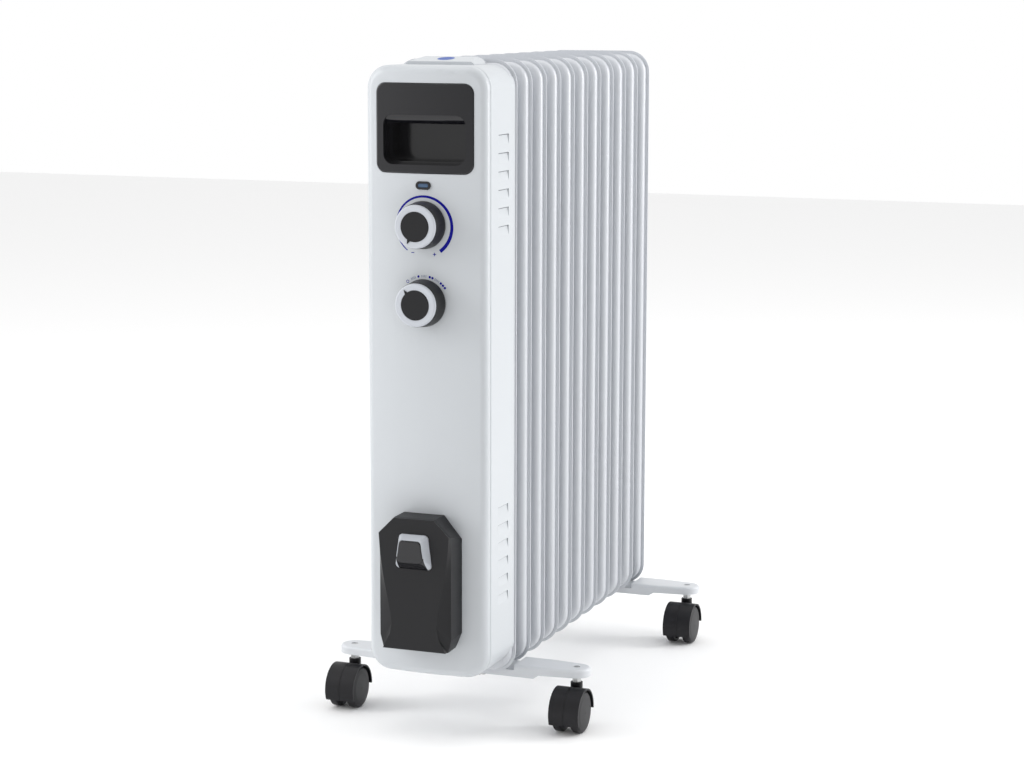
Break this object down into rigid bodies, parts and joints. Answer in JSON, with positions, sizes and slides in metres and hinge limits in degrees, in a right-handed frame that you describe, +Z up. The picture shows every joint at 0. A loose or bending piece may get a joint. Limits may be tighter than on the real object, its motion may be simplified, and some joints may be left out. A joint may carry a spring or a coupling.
{
  "type": "oil filled radiator heater",
  "caption": "Upright oil filled column heater on swivelling twin-wheel casters, with a thermostat knob, a power knob, a carrying pocket and a folding cord store.",
  "frame": {"origin": "on the floor under the middle of the whole heater's box", "axes": "+Z up, the control front looks along -Y, +X to the right seen from the front"},
  "size_m": [0.2628, 0.5204, 0.6367],
  "materials": {
    "fin_paint": "satin",
    "housing_paint": "satin",
    "foot_paint": "satin",
    "zinc_steel": "satin",
    "shield_steel": "satin",
    "element_steel": "satin",
    "black_gloss": "gloss",
    "black_satin": "satin",
    "silver_plastic": "satin",
    "lens_plastic": "gloss",
    "bakelite": "matt",
    "ceramic_body": "matt",
    "lead_insulation": "satin",
    "white_plastic": "satin",
    "caster_plastic": "satin"
  },
  "bodies": {
    "heater": {"fin_01": "fin_paint", "fin_02": "fin_paint", "fin_03": "fin_paint", "fin_04": "fin_paint", "fin_05": "fin_paint", "fin_06": "fin_paint", "fin_07": "fin_paint", "fin_08": "fin_paint", "fin_09": "fin_paint", "fin_10": "fin_paint", "fin_11": "fin_paint", "gallery_fittings": "fin_paint", "heating_element": "element_steel", "front_cover": "housing_paint", "housing_band": "housing_paint", "top_pad": "white_plastic", "heat_shield": "shield_steel", "handle_pocket": "black_gloss", "indicator_bezel": "black_gloss", "indicator_lens": "lens_plastic", "thermostat": "bakelite", "power_switch": "bakelite", "cord_box_tray": "black_satin", "cord_gland": "black_satin", "terminal_block": "ceramic_body", "thermal_cutout": "bakelite", "wiring_loom": "lead_insulation", "cover_screws": "zinc_steel", "front_foot": "foot_paint", "rear_foot": "foot_paint", "foot_fasteners": "zinc_steel", "caster_stems": "zinc_steel"},
    "thermostat_knob": {"thermostat_knob": "black_gloss", "thermostat_knob_ring": "silver_plastic", "thermostat_knob_cap": "black_satin", "thermostat_shaft": "zinc_steel"},
    "switch_knob": {"switch_knob": "black_gloss", "switch_knob_ring": "silver_plastic", "switch_knob_cap": "black_satin", "switch_shaft": "zinc_steel"},
    "cord_lid": {"cord_box_lid": "black_satin", "latch_spring": "zinc_steel"},
    "latch": {"latch_button": "black_gloss", "latch_trim": "silver_plastic"},
    "caster_fl": {"caster_fl_hood": "caster_plastic", "caster_fl_axle": "zinc_steel"},
    "wheel_fl_left": {"caster_fl_wheel_left": "caster_plastic"},
    "wheel_fl_right": {"caster_fl_wheel_right": "caster_plastic"},
    "caster_fr": {"caster_fr_hood": "caster_plastic", "caster_fr_axle": "zinc_steel"},
    "wheel_fr_left": {"caster_fr_wheel_left": "caster_plastic"},
    "wheel_fr_right": {"caster_fr_wheel_right": "caster_plastic"},
    "caster_rl": {"caster_rl_hood": "caster_plastic", "caster_rl_axle": "zinc_steel"},
    "wheel_rl_left": {"caster_rl_wheel_left": "caster_plastic"},
    "wheel_rl_right": {"caster_rl_wheel_right": "caster_plastic"},
    "caster_rr": {"caster_rr_hood": "caster_plastic", "caster_rr_axle": "zinc_steel"},
    "wheel_rr_left": {"caster_rr_wheel_left": "caster_plastic"},
    "wheel_rr_right": {"caster_rr_wheel_right": "caster_plastic"}
  },
  "joints": [
    {"name": "thermostat_turn", "type": "hinge", "parent": "heater", "child": "thermostat_knob", "pos_m": [0, -0.2344, 0.4861], "axis": [0, 1, 0], "range_deg": [0, 300]},
    {"name": "switch_turn", "type": "hinge", "parent": "heater", "child": "switch_knob", "pos_m": [0, -0.2344, 0.4148], "axis": [0, 1, 0], "range_deg": [0, 84]},
    {"name": "cord_lid_hinge", "type": "hinge", "parent": "heater", "child": "cord_lid", "pos_m": [0, -0.2294, 0.0985], "axis": [1, 0, 0], "range_deg": [0, 72]},
    {"name": "latch_press", "type": "slide", "parent": "cord_lid", "child": "latch", "axis": [0, 1, 0], "range_m": [0, 0.003], "stiffness_N_per_m": 400, "springref_m": -0.002, "deforming": ["latch_spring"]},
    {"name": "caster_fl_swivel", "type": "hinge", "parent": "heater", "child": "caster_fl", "pos_m": [-0.1164, -0.1284, 0.035], "axis": [0, 0, 1], "continuous": true},
    {"name": "wheel_fl_left_spin", "type": "hinge", "parent": "caster_fl", "child": "wheel_fl_left", "pos_m": [-0.1254, -0.1438, 0.02], "axis": [1, 0, 0], "continuous": true},
    {"name": "wheel_fl_right_spin", "type": "hinge", "parent": "caster_fl", "child": "wheel_fl_right", "pos_m": [-0.1074, -0.1438, 0.02], "axis": [1, 0, 0], "continuous": true},
    {"name": "caster_fr_swivel", "type": "hinge", "parent": "heater", "child": "caster_fr", "pos_m": [0.1164, -0.1284, 0.035], "axis": [0, 0, 1], "continuous": true},
    {"name": "wheel_fr_left_spin", "type": "hinge", "parent": "caster_fr", "child": "wheel_fr_left", "pos_m": [0.1074, -0.1438, 0.02], "axis": [1, 0, 0], "continuous": true},
    {"name": "wheel_fr_right_spin", "type": "hinge", "parent": "caster_fr", "child": "wheel_fr_right", "pos_m": [0.1254, -0.1438, 0.02], "axis": [1, 0, 0], "continuous": true},
    {"name": "caster_rl_swivel", "type": "hinge", "parent": "heater", "child": "caster_rl", "pos_m": [-0.1164, 0.2263, 0.035], "axis": [0, 0, 1], "continuous": true},
    {"name": "wheel_rl_left_spin", "type": "hinge", "parent": "caster_rl", "child": "wheel_rl_left", "pos_m": [-0.1254, 0.2109, 0.02], "axis": [1, 0, 0], "continuous": true},
    {"name": "wheel_rl_right_spin", "type": "hinge", "parent": "caster_rl", "child": "wheel_rl_right", "pos_m": [-0.1074, 0.2109, 0.02], "axis": [1, 0, 0], "continuous": true},
    {"name": "caster_rr_swivel", "type": "hinge", "parent": "heater", "child": "caster_rr", "pos_m": [0.1164, 0.2263, 0.035], "axis": [0, 0, 1], "continuous": true},
    {"name": "wheel_rr_left_spin", "type": "hinge", "parent": "caster_rr", "child": "wheel_rr_left", "pos_m": [0.1074, 0.2109, 0.02], "axis": [1, 0, 0], "continuous": true},
    {"name": "wheel_rr_right_spin", "type": "hinge", "parent": "caster_rr", "child": "wheel_rr_right", "pos_m": [0.1254, 0.2109, 0.02], "axis": [1, 0, 0], "continuous": true}
  ]
}
